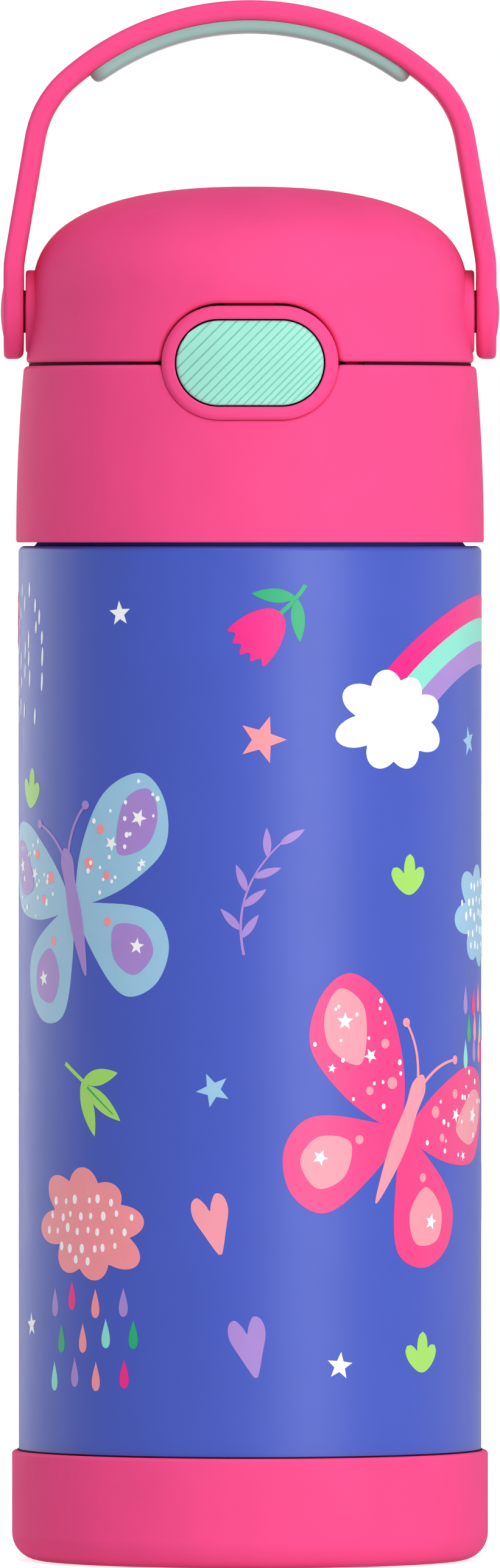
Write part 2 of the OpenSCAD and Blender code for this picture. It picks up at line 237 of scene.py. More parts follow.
def joined(parts):
    """Several parts as one."""
    points, faces, start = [], [], 0
    for part_points, part_faces in parts:
        points.append(np.asarray(part_points, float))
        faces += [tuple(start + k for k in face) for face in part_faces]
        start += len(part_points)
    return np.vstack(points), faces


def loft(grid, close_rows=False):
    """Closed solid through the rows of a grid. Open ends are closed by a fan about their middle."""
    rows, columns, _ = grid.shape
    points = grid.reshape(-1, 3)
    faces = []
    for i in range(rows if close_rows else rows - 1):
        here, above = i * columns, (i + 1) % rows * columns
        for k in range(columns):
            across = (k + 1) % columns
            faces.append((here + k, here + across, above + across, above + k))
    if close_rows:
        return points, faces
    last = (rows - 1) * columns
    points = np.vstack([points, grid[0].mean(axis=0), grid[-1].mean(axis=0)])
    faces += [((k + 1) % columns, k, rows * columns) for k in range(columns)]
    faces += [(last + k, last + (k + 1) % columns, rows * columns + 1) for k in range(columns)]
    return points, faces


def wrapped(r, angle, z):
    """Points at a radius, an angle and a height about Z. Angle 0 is the front."""
    return np.column_stack([r * np.sin(angle), -r * np.cos(angle), z + 0 * angle])


def turned(profile, columns=180, closed=True):
    """Solid of revolution about Z from a profile of (r, z). An open profile ends near the axis."""
    angles = np.linspace(0, TURN, columns, endpoint=False)
    return loft(np.array([wrapped(r, angles, z) for r, z in profile]), closed)


def plug(corners, columns=180):
    """Solid of revolution with no bore, from its outline's (r, z, radius) corners."""
    return turned(rounded(corners, closed=False), columns, closed=False)


def along_x(part, side, y, z):
    """A part turned about Z, laid along X through (y, z). Its own z becomes x, mirrored for side -1."""
    points, faces = part
    laid = np.column_stack([side * points[:, 2], y + points[:, 0], z + points[:, 1]])
    return laid, faces


def moved_to(node, part):
    """A part moved along Y to the middle of a CAD node."""
    points, faces = part
    return points + np.array([0, (low(node).y + high(node).y) / 2, 0]), faces


def soft_box(lows, highs, radius):
    """Box with rounded edges, from rings of rounded rectangles."""
    (x0, y0, z0), (x1, y1, z1) = lows, highs
    rows = []
    for angle in np.radians([0, 30, 60, 90]):
        rows.append((radius * (1 - math.sin(angle)), z0 + radius * (1 - math.cos(angle))))
    rows += [(inset, z0 + z1 - z) for inset, z in reversed(rows)]
    grid = []
    for inset, z in rows:
        r = radius + 0.3 - inset * 0.5
        a, b, c, d = x0 + inset, x1 - inset, y0 + inset, y1 - inset
        ring = rounded([(a, c, r), (b, c, r), (b, d, r), (a, d, r)], step=30)
        grid.append(np.column_stack([ring, np.full(len(ring), z)]))
    return loft(np.array(grid))


def between(top, bottom, faces):
    """Closed solid between two sheets of points. The faces are given for the first sheet."""
    count = len(top)
    edges = {(a, b): None for face in faces for a, b in zip(face, face[1:] + face[:1])}
    walls = [(b, a, count + a, count + b) for a, b in edges if (b, a) not in edges]
    backs = [tuple(count + k for k in reversed(face)) for face in faces]
    return np.vstack([top, bottom]), faces + backs + walls


def wire(path, radius, sides=12):
    """Round wire along a path, with its rings carried along without twist."""
    path = np.asarray(path, float)
    tangents = np.gradient(path, axis=0)
    tangents /= np.linalg.norm(tangents, axis=1)[:, None]
    side = np.cross(tangents[0], [0.31, 0.52, 0.79])
    grid = []
    for point, tangent in zip(path, tangents):
        side = side - (side @ tangent) * tangent
        side /= np.linalg.norm(side)
        other = np.cross(tangent, side)
        angles = np.arange(sides) * TURN / sides
        grid.append([point + radius * (math.cos(a) * side + math.sin(a) * other) for a in angles])
    return loft(np.array(grid))


# ---- materials


def add(tree, kind, inputs):
    """A new node in a tree. Each input is given its value, or is linked to another node's output."""
    node = tree.nodes.new(kind)
    for name, value in inputs.items():
        if isinstance(value, bpy.types.NodeSocket):
            tree.links.new(value, node.inputs[name])
        else:
            node.inputs[name].default_value = value
    return node


def map_range(tree, value, to, start=(0, 1)):
    """A value carried from one range to another."""
    inputs = {"Value": value, "From Min": start[0], "From Max": start[1], "To Min": to[0], "To Max": to[1]}
    return add(tree, "ShaderNodeMapRange", inputs).outputs["Result"]


def noise(tree, grain_mm, detail=2.0, stretch=(1, 1, 1)):
    """Noise in the object's own coordinates, with a grain of about `grain_mm`."""
    place = add(tree, "ShaderNodeTexCoord", {}).outputs["Object"]
    place = add(tree, "ShaderNodeMapping", {"Vector": place, "Scale": stretch}).outputs["Vector"]
    inputs = {"Vector": place, "Scale": 1 / (grain_mm * MM), "Detail": detail}
    return add(tree, "ShaderNodeTexNoise", inputs).outputs["Fac"]


def surface(name, colour, rough, relief, constants, stretch=(1, 1, 1), detail=2.0):
    """Material whose colour and roughness wander over patches, under a fine relief.

    colour is (rgb, spread, patch), rough is (lowest, highest, patch) and relief is (depth, grain).
    """
    material = bpy.data.materials.new(name)
    material.use_nodes = True
    tree = material.node_tree
    principled = tree.nodes["Principled BSDF"]
    for socket, value in constants.items():
        principled.inputs[socket].default_value = value
    rgb, spread, patch = colour
    ramp = add(tree, "ShaderNodeValToRGB", {"Fac": noise(tree, patch)})
    for element, factor, place in zip(ramp.color_ramp.elements, (1 - spread, 1 + spread), (0.3, 0.7)):
        element.color = [min(1.0, c * factor) for c in rgb] + [1]
        element.position = place
    tree.links.new(ramp.outputs["Color"], principled.inputs["Base Color"])
    lowest, highest, patch = rough
    wander = map_range(tree, noise(tree, patch, 3), (lowest, highest))
    tree.links.new(wander, principled.inputs["Roughness"])
    depth, grain = relief
    height = noise(tree, grain, detail, stretch)
    bump = add(tree, "ShaderNodeBump", {"Strength": 1.0, "Distance": depth * MM, "Height": height})
    tree.links.new(bump.outputs["Normal"], principled.inputs["Normal"])
    return material


def moulded_plastic(name, colour, roughness=0.58, specular=0.05):
    """Satin moulded plastic with a fine spark-eroded grain."""
    rough = (roughness - 0.05, roughness + 0.05, 4)
    return surface(name, (colour, 0.025, 9), rough, (0.012, 0.28), {"Specular IOR Level": specular})


def soft_rubber(name, colour, roughness=0.62):
    """Soft-touch rubber or silicone."""
    rough = (roughness - 0.06, roughness + 0.06, 3)
    constants = {"Specular IOR Level": 0.3, "Sheen Weight": 0.25, "Sheen Roughness": 0.4}
    return surface(name, (colour, 0.03, 6), rough, (0.02, 0.4), constants)


def painted_steel(name, colour):
    """Satin powder coat with a fine orange-peel relief under a thin clear film."""
    constants = {"Specular IOR Level": 0.3, "Coat Weight": 0.12, "Coat Roughness": 0.35}
    return surface(name, (colour, 0.02, 14), (0.36, 0.44, 5), (0.008, 0.5), constants)


def printed_ink(name, colour):
    """Opaque screen-printed ink, a shade flatter than the paint under it."""
    return surface(name, (colour, 0.02, 5), (0.38, 0.46, 2), (0.004, 0.3), {"Specular IOR Level": 0.45})


def brushed_steel(name, stretch):
    """Steel with fine brush lines. They run along the axis that `stretch` scales least."""
    colour = ((0.6, 0.6, 0.62), 0.05, 7)
    return surface(name, colour, (0.22, 0.36, 1.5), (0.004, 0.35), {"Metallic": 1.0}, stretch, 4)


PINK = (0.86, 0.073, 0.245)
DEEP_PINK = (0.3, 0.008, 0.06)
LID_PLASTIC = moulded_plastic("lid_plastic", PINK)
DECK_PLASTIC = moulded_plastic("deck_plastic", DEEP_PINK)
BOOT_PLASTIC = moulded_plastic("boot_plastic", PINK, 0.6)
HANDLE_PLASTIC = moulded_plastic("handle_plastic", PINK, 0.56)
MINT_PLASTIC = moulded_plastic("mint_plastic", (0.34, 0.74, 0.61), 0.55)
MINT_GRIP = soft_rubber("mint_rubber", (0.3, 0.5, 0.455))
BODY_PAINT = painted_steel("body_paint", (0.055, 0.094, 0.49))
STEEL = brushed_steel("steel_turned", (1, 1, 12))
WIRE_STEEL = brushed_steel("steel_wire", (6, 6, 6))
SILICONE = soft_rubber("clear_silicone", (0.8, 0.83, 0.83), 0.5)
PAD_RUBBER = soft_rubber("pad_rubber", (0.055, 0.055, 0.065), 0.7)
# Near-black plastic laid as painted shade: in the seam between collar and cap, and where the boot meets the
# body.
PAINTED_SHADE_DARK = moulded_plastic("painted_shade_plastic", (0.035, 0.004, 0.014), 0.7, 0.03)

# ---- flask


def make_boot():
    """Boot round the flask's foot, with the recess for its pad, and a dark ring on its rim that is painted
    shade where the boot meets the body.
    """
    inside, bed, hub = BODY_R + 0.03, BODY_LOW - 0.05, 19.6
    outline = rounded([
        (31, 1, 0.2), (31, 0, 0.3), (BOOT_R, 0, 4.5), (BOOT_R, BOOT_TOP, 0.6),
        (inside, BOOT_TOP, 0.15), (inside, bed, 3.4), (hub, bed, 0), (hub, 1, 0)], step=9)
    new_piece("boot", turned(outline), BOOT_PLASTIC, "flask", "base_boot")
    disc = plug([(0.2, bed, 0), (hub, bed, 0), (hub, 1, 0), (0.2, 1, 0)])
    new_piece("boot_floor", disc, BOOT_PLASTIC, "flask")
    # Near-black ring at the boot's top edge: painted shade where the boot meets the body.
    inner, outer, foot, top = inside - 0.2, inside + 0.12, BOOT_TOP - 0.6, BOOT_TOP + 0.28
    shade_ring = rounded([(inner, foot, 0), (outer, foot, 0), (outer, top, 0.08), (inner, top, 0)])
    new_piece("boot_shade_ring", turned(shade_ring, 240), PAINTED_SHADE_DARK, "flask")


def make_pad():
    """Rubber ring under the boot, with four grooves."""
    top, inner, outer, groove = 0.99, 20.0, high("anti_slip_pad").x, 0.45
    corners = [(inner, top, 0), (inner, 0, 0.25)]
    for r in np.linspace(inner, outer, 6)[1:-1]:
        corners += [(r - 0.5, 0, 0.15), (r - 0.35, groove, 0.1)]
        corners += [(r + 0.35, groove, 0.1), (r + 0.5, 0, 0.15)]
    corners += [(outer, 0, 0.25), (outer, top, 0)]
    part = turned(rounded(corners, step=30))
    new_piece("foot_pad", part, PAD_RUBBER, "flask", "anti_slip_pad")


def make_body():
    """Painted shell up to its shoulder, and the bare neck with its thread."""
    t, step_r, top, foot_r, joint_r, neck_r = 0.5, 35.4, SHOULDER + 1.3, 20, 31, 28.6
    outline = rounded([
        (foot_r, BODY_LOW, 0), (BODY_R, BODY_LOW, 3.4), (BODY_R, SHOULDER, 1.0), (step_r, SHOULDER, 0.3),
        (step_r - 1, top, 0.3), (joint_r, top, 0), (joint_r, top - t, 0), (step_r - 1.25, top - t, 0.3),
        (step_r - 0.25, SHOULDER - t, 0.3), (BODY_R - t, SHOULDER - t, 0.4),
        (BODY_R - t, BODY_LOW + t, 2.9), (foot_r, BODY_LOW + t, 0)], step=9)
    new_piece("body_shell", turned(outline, 240), BODY_PAINT, "flask", "outer_shell")
    neck = rounded([
        (joint_r, top, 0), (neck_r, top, 2.0), (neck_r, NECK_TOP, 0.1), (neck_r - t, NECK_TOP, 0.1),
        (neck_r - t, top - t, 2.0), (joint_r, top - t, 0)])
    steel = joined([turned(neck, 144), thread(neck_r - 0.05, neck_r + 1.1, NECK_TOP - 9.9)])
    new_piece("neck", steel, STEEL, "flask")


def thread(root, tip, z0, pitch=4.0, turns=1.25):
    """Rounded helical ridge that fades in and out."""
    steps, fade_steps = 110, 12
    section = rounded([(0, -1.1, 0), (1, -0.45, 0.4), (1, 0.45, 0.4), (0, 1.1, 0)], step=30)
    grid = []
    for i in range(steps + 1):
        angle = TURN * turns * i / steps
        fade = max(0.05, min(1, i / fade_steps, (steps - i) / fade_steps))
        r = root + (tip - root) * fade * section[:, 0]
        z = z0 + pitch * turns * i / steps + section[:, 1]
        grid.append(np.column_stack([r * math.cos(angle), r * math.sin(angle), z]))
    return loft(np.array(grid))


# ---- lid shells


def collar_radius(z, inset=0.0):
    """Outside radius of the collar, which leans in towards the seam."""
    share = (np.asarray(z, float) - COLLAR_LOW) / (COLLAR_TOP - COLLAR_LOW)
    return COLLAR_R - COLLAR_LEAN * np.clip(share, 0, 1) ** 2 - inset


def cap_radius(z, inset=0.0):
    """Outside radius of the flip cap: a flared skirt under a superellipse."""
    z = np.asarray(z, float)
    skirt = np.clip((DOME_LOW - z) / (DOME_LOW - CAP_LOW), 0, None) ** FLARE_POWER * FLARE
    share = np.clip((z - DOME_LOW) / (CAP_TOP - DOME_LOW - inset), 0, 1)
    return (DOME_R - inset) * (1 - share ** DOME_POWER) ** (1 / SIDE_POWER) + skirt


def rim_radius(z):
    """Radius of the face of the button's rim."""
    heights, radii = [-14, -9.6, 0, 9.7, 14], [38.7, 38.5, 38.05, 37.2, 36.7]
    return np.interp(np.asarray(z, float) - SEAM, heights, radii)


def button_slot(away):
    """Radius of the ends and half length of the straights of an outline `away` outside the button."""
    return BUTTON_H / 2 + away, (BUTTON_W - BUTTON_H) / 2


def shell_edge(front, back, seam_z, radius):
    """A shell's closed edge as (angle, z), from the (x, z) of its right half's front and back stretches."""
    front_angle = np.arcsin(front[:, 0] / radius(front[:, 1]))
    back_angle = math.pi - np.arcsin(back[:, 0] / radius(back[:, 1]))
    edge = np.vstack([
        np.column_stack([front_angle, front[:, 1]]), [[math.pi / 2, seam_z]],
        np.column_stack([back_angle, back[:, 1]])])
    r = float(radius(seam_z))
    right = resampled(edge * [r, 1], 0.55) / [r, 1]
    right[0, 0], right[-1, 0] = 0, math.pi
    left = right[::-1] * [-1, 1]
    return np.vstack([left[:-1], right[:-1]])


def ring_points(angle, z, radius, inset=0.0):
    """Points on a shell, at the radius that a function gives for each height."""
    return wrapped(radius(z, inset), angle, z)


def edge_rows(edge, radius, into, fillet, wall, ring_z, blends):
    """Rows of a shell beside its edge: from a plain ring to the edge, round its fillet and back inside."""
    seam_r = float(radius(edge[:, 1].mean()))
    flat = edge * [seam_r, 1]
    round_once = np.array([TURN * seam_r, 0])
    wrapped = np.vstack([flat[-1] - round_once, flat, flat[0] + round_once])
    normal = edge_normals(wrapped)[1:-1] * into
    fillet = fillet * np.ones(len(edge))
    lengths = np.linalg.norm(np.roll(flat, -1, axis=0) - flat, axis=1)
    lengths[-1] = lengths[-2]
    even = np.concatenate([[0], np.cumsum(lengths)[:-1]]) / lengths.sum() * TURN + edge[0, 0]
    target = 0.5 * even + 0.5 * edge[:, 0]

    def row(inward, depth):
        place = flat + normal * inward[:, None]
        return ring_points(place[:, 0] / seam_r, place[:, 1], radius, depth)

    def blend(share, depth):
        place = flat + normal * fillet[:, None]
        ease = share * share * (3 - 2 * share)
        angle = place[:, 0] / seam_r * (1 - ease) + target * ease
        return ring_points(angle, place[:, 1] * (1 - share) + ring_z * share, radius, depth)

    shares = np.linspace(1, 0, blends + 1)
    outer = [blend(share, 0) for share in shares]
    for angle in np.radians([15, 30, 45, 60, 75, 90]):
        outer.append(row(fillet * (1 - math.sin(angle)), fillet * (1 - math.cos(angle))))
    inner = [row(0 * fillet, wall * 0.6), row(0 * fillet, wall)]
    inner += [blend(share, wall) for share in shares[::-1]]
    return outer, inner, target


def cap_edge():
    """Lower edge of the flip cap, with the notch for the button's rim and the gap for the hinge."""
    r, straight = button_slot(BUTTON_GAP + RIM_W + NOTCH_GAP)
    corner = 0.9
    rise = CAP_LOW + corner - SEAM
    reach = math.sqrt((r + corner) ** 2 - rise ** 2)
    meet = math.degrees(math.atan2(rise, reach))
    front = np.vstack([
        [[0, SEAM + r]],
        arc(straight, SEAM, r, 90, meet, 40),
        arc(straight + reach, CAP_LOW + corner, corner, 180 + meet, 270, 8)])
    top, half = HINGE.z + 3.0, 11.3
    back = rounded([(16, CAP_LOW, 0), (half, CAP_LOW, 0.8), (half, top, 0.8), (0, top, 0)], closed=False)
    return shell_edge(front, back, CAP_LOW, cap_radius)


def make_cap():
    """Flip cap: one wall from the dome round its edge to the inside, with ears and the latch's ledge."""
    ring_z = DOME_LOW + 5.0
    outer, inner, target = edge_rows(cap_edge(), cap_radius, 1, EDGE_FILLET, CAP_WALL, ring_z, 12)

    def dome(inset):
        rise = CAP_TOP - inset - DOME_LOW
        first = math.acos(min(1, ((ring_z - DOME_LOW) / rise) ** (DOME_POWER / 2)))
        angles = np.linspace(0.02, first, 26)[:-1]
        heights = DOME_LOW + rise * np.cos(angles) ** (2 / DOME_POWER)
        return [ring_points(target, z, cap_radius, inset) for z in heights]

    parts = [loft(np.array(dome(0) + outer + inner + dome(CAP_WALL)[::-1]))]
    root = 31
    ear = plug([(0.2, root, 0), (EAR_R, root, 0), (EAR_R, EAR_X, 0.45), (0.2, EAR_X, 0)], 96)
    parts += [along_x(ear, side, PIVOT.y, PIVOT.z) for side in (-1, 1)]
    ledge = soft_box((-6, -35.2, DOME_LOW + 0.8), (6, -32.6, DOME_LOW + 2.4), 0.3)
    new_piece("cap_shell", joined(parts + [ledge]), LID_PLASTIC, "cap", "flip_cap")


def collar_edge():
    """Upper edge of the collar: it dips round the button behind the rim, and at the back for the hinge."""
    r, straight = button_slot(BUTTON_GAP + RIM_W + RIM_CREASE)
    front = np.vstack([
        [[0, SEAM - r]], arc(straight, SEAM, r, -90, -8, 30), [[straight + r + 0.6, COLLAR_TOP]]])
    bottom, half = HINGE.z - 2.95, 6.1
    corners = [(14, COLLAR_TOP, 0), (half, COLLAR_TOP, 0.8), (half, bottom, 0.8), (0, bottom, 0)]
    return shell_edge(front, rounded(corners, closed=False), COLLAR_TOP, collar_radius)


def make_collar():
    """Collar: one closed wall, open round the button."""
    edge = collar_edge()
    wall, ring_z, foot = 1.65, SEAM - 12.5, 0.4
    fillet = np.interp(COLLAR_TOP - edge[:, 1], [0, 1.5], [EDGE_FILLET, CREASE_FILLET])
    outer, inner, target = edge_rows(edge, collar_radius, -1, fillet, wall, ring_z, 10)
    down = [ring_points(target, z, collar_radius) for z in np.linspace(ring_z, COLLAR_LOW + foot, 9)[1:]]
    for angle in np.radians([22, 45, 67, 90]):
        z = COLLAR_LOW + foot * (1 - math.sin(angle))
        down.append(ring_points(target, z, collar_radius, foot * (1 - math.cos(angle))))
    up = [ring_points(target, z, collar_radius, wall) for z in np.linspace(COLLAR_LOW, ring_z, 6)[:-1]]
    grid = np.array((outer + inner)[::-1] + down + up)
    new_piece("collar_shell", loft(grid, True), LID_PLASTIC, "lid", "lid_collar")


def make_seam_rib():
    """Near-black rib on the collar's rim, coloured as painted shade in the seam. It closes the seam, so
    that no light passes near the outline.
    """
    foot, top, inner, outer, sweep = COLLAR_TOP - 0.5, CAP_LOW - 0.04, 35.5, 36.3, 123
    section = np.array([(inner, foot), (outer, foot), (outer, top), (inner, top)])
    parts = []
    for start in (31, 206):
        grid = []
        for angle in np.radians(np.linspace(start, start + sweep, 83)):
            grid.append(wrapped(section[:, 0], angle, section[:, 1]))
        parts.append(loft(np.array(grid)))
    new_piece("seam_rib", joined(parts), PAINTED_SHADE_DARK, "lid")


def make_rim():
    """Raised rim round the button, standing into the cap's notch."""
    r, straight = button_slot(BUTTON_GAP)
    ends = [arc(straight, SEAM, r, -90, 90, 60), arc(-straight, SEAM, r, 90, 270, 60)]
    hole = resampled(np.vstack(ends), 0.4, closed=True)
    outward = -edge_normals(hole, closed=True)
    section = rounded([(0, -RIM_DEPTH, 0), (0, 0, 0.3), (RIM_W, 0, 1.0), (RIM_W, -RIM_DEPTH, 0)], step=15)
    grid = []
    for away, height in section:
        place = hole + outward * away
        face = rim_radius(place[:, 1]) + height
        grid.append(np.column_stack([place[:, 0], -np.sqrt(face ** 2 - place[:, 0] ** 2), place[:, 1]]))
    new_piece("button_rim", loft(np.array(grid), True), LID_PLASTIC, "lid")


# ---- button


def rib_drop(q, edges):
    """Depth of the ribbed face across the ribs: each rib rises gently from a step at its edge."""
    for start, end in zip(edges[:-1], edges[1:]):
        if start <= q <= end:
            return RIB_DEPTH * max(0.0, 1 - (q - start) / RIB_STEP)
    return 0.0


def rib_edges(first, last):
    """Places of the ribs' edges across the face. They get closer together towards the right."""
    edges = [first]
    while edges[-1] < last:
        share = (edges[-1] - first) / (last - first)
        edges.append(edges[-1] + RIB_PITCH - PITCH_LOSS * share ** 0.8)
    return edges


def chord(q, straight, r):
    """Ends, along x + z, of the line x - z = q inside a slot-shaped outline about the origin."""
    t = np.linspace(-straight - r, straight + r, 4001)
    inside_slot = t[np.hypot(np.maximum(abs(t + q / 2) - straight, 0), t - q / 2) <= r]
    return inside_slot[0], inside_slot[-1]


def make_button():
    """Push button with slanted ribs."""
    r, straight = button_slot(0)
    back_y, edge_steps, edge_drops = -34.0, (0, 0.12, 0.3, 0.5), (0.3, 0.1, 0.02)
    span = straight + r * math.sqrt(2)
    edges = rib_edges(-span - 0.6, span)
    near_edges = [q + d for q in edges for d in (-0.02, 0.02, 0.2, RIB_STEP) if -span < q + d < span]
    even = list(np.linspace(-span + 0.004, span - 0.004, 61)) + [-span + 0.05, span - 0.05]
    top, bottom = [], []
    for q in sorted(set(near_edges + even)):
        start, end = chord(q, straight, r)
        inset = [min(d, (end - start) * 0.08 * (k + 1)) for k, d in enumerate(edge_steps)]
        places = [start + d for d in inset]
        places += list(np.linspace(start + inset[-1], end - inset[-1], 18)[1:-1])
        places += [end - d for d in reversed(inset)]
        row = []
        for k, place in enumerate(places):
            x, z = place + q / 2, place - q / 2
            from_edge = min(k, len(places) - 1 - k)
            edge_drop = edge_drops[from_edge] if from_edge < len(edge_drops) else 0.0
            face = rim_radius(SEAM + z) - BUTTON_RECESS - rib_drop(q, edges) - edge_drop
            row.append((x, -math.sqrt(face ** 2 - x ** 2), SEAM + z))
        top += row
        bottom += [(x, back_y, z) for x, _, z in row]
    columns, last_row = len(row), len(top) - len(row)
    starts = [a for a in range(last_row) if (a + 1) % columns]
    part = between(top, bottom, [(a, a + 1, a + columns + 1, a + columns) for a in starts])
    new_piece("button", part, MINT_PLASTIC, "button", "release_button", sharp=25)


def make_button_spring():
    """Coil behind the button."""
    turns, steps, r, y0, y1 = 5, 160, 3.2, -30.5, -22.4
    path = []
    for i in range(steps + 1):
        angle = TURN * turns * i / steps
        path.append((r * math.cos(angle), y0 + (y1 - y0) * i / steps, SEAM + r * math.sin(angle)))
    spring = new_piece("return_spring", wire(path, 0.35), WIRE_STEEL, "lid", "button_spring")
    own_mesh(spring)


# ---- handle


def handle_path(inset):
    """Right half of the band's line, `inset` inside its face, from the arm's foot to the crown's top."""
    turn, lean = math.radians(CROWN_HALF), math.radians(LEG_LEAN)
    from_crown = CROWN_R - CORNER_R
    corner = np.array([from_crown * math.sin(turn), CROWN_Z + from_crown * math.cos(turn)])
    leg_top = corner + (CORNER_R - inset) * np.array([math.cos(lean), math.sin(lean)])
    arm_x = ARM_OUT - inset
    bend_z = leg_top[1] - (arm_x - leg_top[0]) / math.tan(lean)
    corners = [(arm_x, PIVOT.z - BAND_HALF, 0), (arm_x, bend_z, 14), (leg_top[0], leg_top[1], 0)]
    return np.vstack([
        rounded(corners, closed=False, step=1.5)[:-1],
        arc(corner[0], corner[1], CORNER_R - inset, LEG_LEAN, 90 - CROWN_HALF, 16)[:-1],
        arc(0, CROWN_Z, CROWN_R - inset, 90 - CROWN_HALF, 90, 30)])


def pillow(half_outline, line, thickness, fillets):
    """Strip bent along a line in X and Z, from (along, half width) points and an outer and inner fillet."""
    steps = steps_along(line)
    normals = edge_normals(line)
    inward = edge_normals(half_outline)
    angles = np.radians([0, 18, 36, 54, 72, 90])
    halves = []
    for sign, fillet in zip((1, -1), fillets):
        halves.append([(fillet * (1 - math.sin(a)), sign * (thickness / 2 - fillet * (1 - math.cos(a))))
                       for a in angles])
    across = halves[0] + halves[1][::-1]

    def bent(along, width, height):
        x, z = (np.interp(along, steps, line[:, k]) for k in (0, 1))
        nx, nz = (np.interp(along, steps, normals[:, k]) for k in (0, 1))
        return np.column_stack([x - nx * height, width, z - nz * height])

    columns = []
    for side in (1, -1):
        for inset, height in across[::side]:
            along = half_outline[:, 0] - inward[:, 0] * inset
            width = half_outline[:, 1] - inward[:, 1] * inset
            columns.append(bent(along, side * np.maximum(width, 0.02), height))
    return loft(np.array(columns).transpose(1, 0, 2))


def make_handle():
    """Bail handle: a band with round eyes, soft edges and a slimmer crown."""
    right = handle_path(BAND_T / 2)
    line = resampled(np.vstack([right, (right[::-1] * [-1, 1])[1:]]), 0.8)
    total = np.linalg.norm(np.diff(line, axis=0), axis=1).sum()
    slim, slim_from = 0.8, 28
    eye = arc(BAND_HALF, 0, BAND_HALF, 176, 90, 20)
    middle = np.linspace(BAND_HALF + 2, total / 2, 50)
    ease = np.clip((middle - slim_from) / (total / 2 - slim_from), 0, 1)
    width = BAND_HALF - slim * ease * ease * (3 - 2 * ease)
    half = np.vstack([eye, np.column_stack([middle, width])])
    half = np.vstack([half, (half[::-1] * [-1, 1] + [total, 0])[1:]])
    part = pillow(half, line, BAND_T, (0.8, 1.2))
    new_piece("handle_band", part, HANDLE_PLASTIC, "handle", "bail_handle")


def make_grip():
    """Soft grip under the crown."""
    thickness, width, half_angle = 2.0, 6.0, 37.2
    middle_r = CROWN_R - BAND_T - 0.02 - thickness / 2
    line = arc(0, CROWN_Z, middle_r, 90 - half_angle, 90 + half_angle, 80)
    total = math.radians(2 * half_angle) * middle_r
    corners = [(0, 0.05, 0), (0, width, 3), (total, width, 3), (total, 0.05, 0)]
    outline = resampled(rounded(corners, closed=False, step=10), 0.6)
    part = pillow(outline, line, thickness, (0.12, 1.25))
    new_piece("grip_pad", part, MINT_GRIP, "handle", "handle_grip")


def make_pivots():
    """Domed pin heads in the handle's eyes, and the washers behind them."""
    head_r, dome, shank_r, bore, washer_r = 4.35, 0.5, 1.7, 1.75, 3.5
    sphere = (head_r ** 2 + dome ** 2) / (2 * dome)
    head = [(0.1, ARM_OUT - 1), (head_r, ARM_OUT - 1), (head_r, ARM_OUT - 0.1)]
    for r in head_r * np.linspace(1, 0.03, 14):
        head.append((r, ARM_OUT + dome - sphere + math.sqrt(sphere ** 2 - r ** 2)))
    root, tip = EAR_X - 2.9, ARM_OUT - 0.9
    shank = plug([(0.1, root, 0), (shank_r, root, 0.3), (shank_r, tip, 0), (0.1, tip, 0)], 48)
    arm_in = ARM_OUT - BAND_T - 0.02
    washer = [(bore, EAR_X, 0), (washer_r, EAR_X, 0), (washer_r, arm_in, 0.08), (bore, arm_in, 0)]
    washer = turned(rounded(washer), 72)
    head = turned(np.array(head), 72, closed=False)
    for side, word in ((-1, "left"), (1, "right")):
        pin = joined([along_x(part, side, PIVOT.y, PIVOT.z) for part in (head, shank)])
        new_piece(f"pin_{word}", pin, HANDLE_PLASTIC, "cap", f"pivot_pin_{word}")
        ring = along_x(washer, side, PIVOT.y, PIVOT.z)
        new_piece(f"spacer_{word}", ring, HANDLE_PLASTIC, "cap", f"pivot_washer_{word}")


# ---- hinge

KNUCKLE_R = 2.6


def knuckle(side, x0, x1):
    """Hinge barrel along X with softened ends and a bore for the pin."""
    bore = 1.33
    corners = [(bore, x0, 0.1), (KNUCKLE_R, x0, 0.35), (KNUCKLE_R, x1, 0.35), (bore, x1, 0.1)]
    return along_x(turned(rounded(corners, step=20), 64), side, HINGE.y, HINGE.z)


def make_hinge():
    """Knuckles of the collar and of the cap, their webs and the pin."""
    fixed_x, turning_x, collar_y, cap_y, pin_r, pin_half = (6.15, 11), (2.6, 5.8), 35.2, 34.6, 1.25, 11
    fixed, turning = [], []
    for side in (-1, 1):
        fixed.append(knuckle(side, *fixed_x))
        turning.append(knuckle(side, *turning_x))
        a, b = sorted(side * x for x in fixed_x)
        web_y = HINGE.y + KNUCKLE_R - 0.25
        fixed.append(soft_box((a, collar_y, HINGE.z - 6.4), (b, web_y, HINGE.z - 0.2), 0.35))
        a, b = sorted(side * x for x in turning_x)
        turning.append(soft_box((a, cap_y, HINGE.z + 0.2), (b, HINGE.y + 1.4, HINGE.z + 4.6), 0.35))
    new_piece("hinge_collar_knuckles", joined(fixed), LID_PLASTIC, "lid")
    new_piece("hinge_cap_knuckles", joined(turning), LID_PLASTIC, "cap")
    pin = plug([
        (0.05, -pin_half, 0), (pin_r, -pin_half, 0.25), (pin_r, pin_half, 0.25), (0.05, pin_half, 0)], 48)
    new_piece("hinge_rod", along_x(pin, 1, HINGE.y, HINGE.z), STEEL, "lid", "hinge_pin")


def make_hinge_spring():
    """Torsion spring round the hinge pin, with one arm up into the cap."""
    turns, coil_r, x0, length, arm_x = 8, 1.9, -2.2, 4.3, 2.15
    path = []
    for i in range(turns * 24 - 1):
        angle = TURN * i / 24
        y, z = HINGE.y - coil_r * math.cos(angle), HINGE.z - coil_r * math.sin(angle)
        path.append((x0 + length * i / (turns * 24), y, z))
    path.append((arm_x, HINGE.y - coil_r - 0.2, HINGE.z + 1.2))
    path.append((arm_x, HINGE.y - coil_r - 0.7, HINGE.z + 6.8))
    new_piece("cap_spring", wire(path, 0.25), WIRE_STEEL, "lid", "hinge_spring")


# ---- inside the lid


